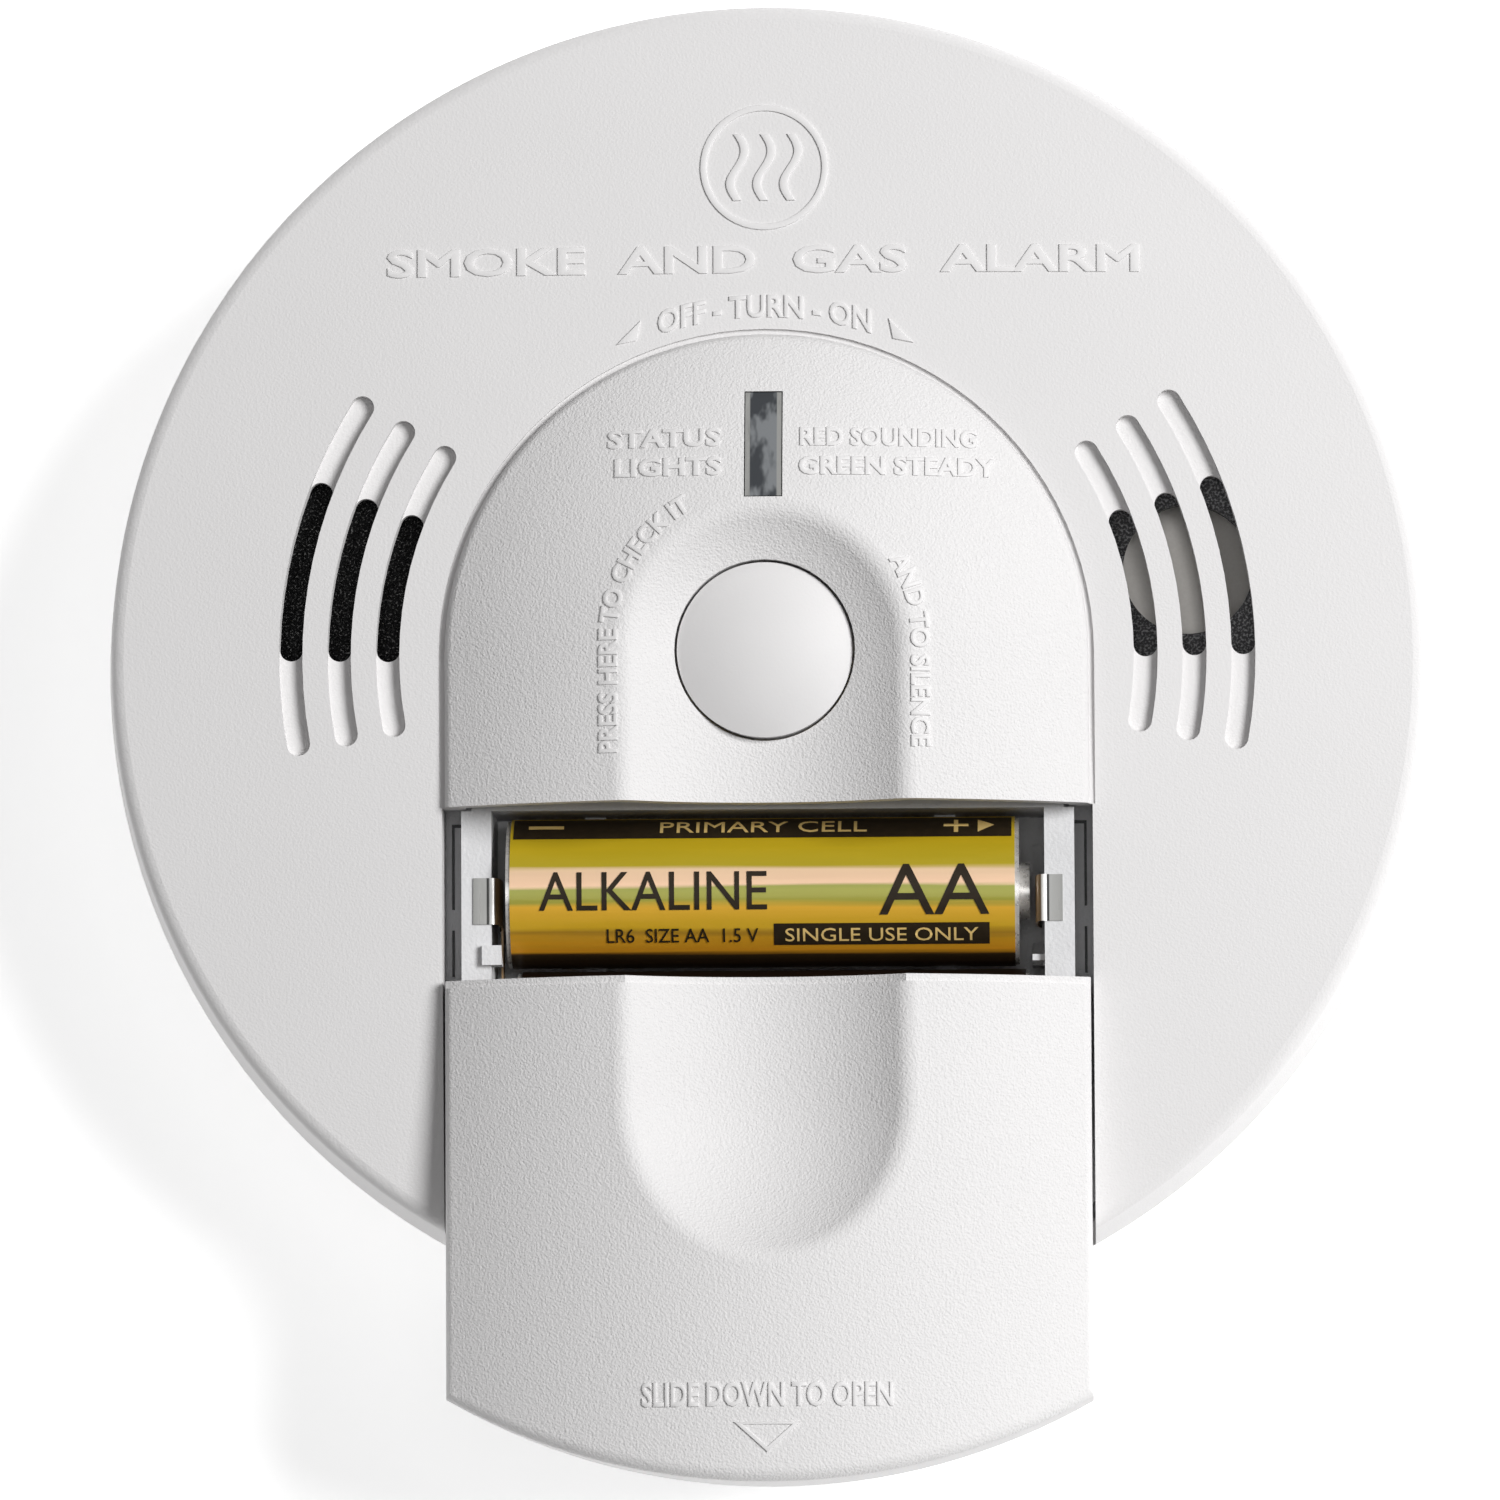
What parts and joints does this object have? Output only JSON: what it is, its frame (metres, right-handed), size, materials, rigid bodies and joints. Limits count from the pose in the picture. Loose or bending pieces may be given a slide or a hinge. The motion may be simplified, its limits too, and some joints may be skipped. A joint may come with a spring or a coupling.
{
  "type": "smoke and gas alarm",
  "caption": "Round ceiling smoke and gas alarm with a raised arch, a push button, a sliding battery door, AA cells and a twist-off mounting bracket.",
  "frame": {"origin": "centre of the mounting bracket's back face", "axes": "+Z out of the alarm's face, +Y towards the top of the arch, away from the battery door; the door slides open along -Y"},
  "size_m": [0.1294, 0.1446, 0.046],
  "materials": {
    "case_white": "moulded, spark-textured off-white",
    "tray_grey": "moulded light grey",
    "button_white": "smooth satin white",
    "spring_steel": "drawn wire",
    "black_plastic": "moulded black",
    "charcoal_plastic": "moulded, coarse texture",
    "smoked_lens": "smoked, polished",
    "clear_plastic": "clear moulded",
    "red_lens": "tinted epoxy",
    "green_lens": "tinted epoxy",
    "board_green": "solder mask",
    "capacitor_sleeve": "shrink sleeve",
    "ceramic_parts": "chip resistors",
    "screen_steel": "woven mesh",
    "bare_steel": "plain",
    "black_rubber": "moulded",
    "paper_cone": "pressed paper",
    "black_foam": "open-cell foam",
    "cell_steel": "nickel-plated",
    "gold_sleeve": "metallised film",
    "nickel_contact": "nickel-plated spring strip"
  },
  "bodies": {
    "bracket": {"mounting_bracket": "case_white"},
    "alarm": {"back_cover": "case_white", "battery_tray": "tray_grey", "board_capacitors": "capacitor_sleeve", "board_chips": "black_plastic", "board_resistors": "ceramic_parts", "bridge_contact": "nickel_contact", "case_screws": "bare_steel", "chamber_base": "black_plastic", "chamber_cap": "black_plastic", "front_cover": "case_white", "gas_sensor": "bare_steel", "horn_coil": "black_plastic", "horn_disc": "bare_steel", "horn_gasket": "black_rubber", "horn_housing": "charcoal_plastic", "horn_terminals": "bare_steel", "infrared_led": "clear_plastic", "insect_screen": "screen_steel", "light_guide": "clear_plastic", "light_window": "smoked_lens", "main_board": "board_green", "minus_contact": "nickel_contact", "photodiode": "black_plastic", "plus_contact": "nickel_contact", "rear_cell": "cell_steel", "rear_sleeve": "gold_sleeve", "speaker_cloth": "black_foam", "speaker_cone": "paper_cone", "speaker_frame": "bare_steel", "speaker_magnet": "bare_steel", "status_led_green": "green_lens", "status_led_red": "red_lens", "switch_body": "black_plastic"},
    "door": {"battery_door": "case_white"},
    "button": {"test_button": "button_white", "button_spring": "spring_steel", "switch_plunger": "black_plastic"},
    "front_battery": {"front_cell": "cell_steel", "front_sleeve": "gold_sleeve"}
  },
  "joints": [
    {"name": "bracket_twist", "type": "hinge", "parent": "bracket", "child": "alarm", "pos_m": [0, 0, 0], "axis": [0, 0, 1], "range_deg": [0, 15]},
    {"name": "door_slide", "type": "slide", "parent": "alarm", "child": "door", "axis": [0, -1, 0], "range_m": [-0.0165, 0.016]},
    {"name": "button_press", "type": "slide", "parent": "alarm", "child": "button", "axis": [0, 0, -1], "range_m": [0, 0.0012], "stiffness_N_per_m": 900, "deforming": ["button_spring"]},
    {"name": "battery_lift", "type": "slide", "parent": "alarm", "child": "front_battery", "axis": [0, 0, 1], "range_m": [0, 0.026]}
  ]
}
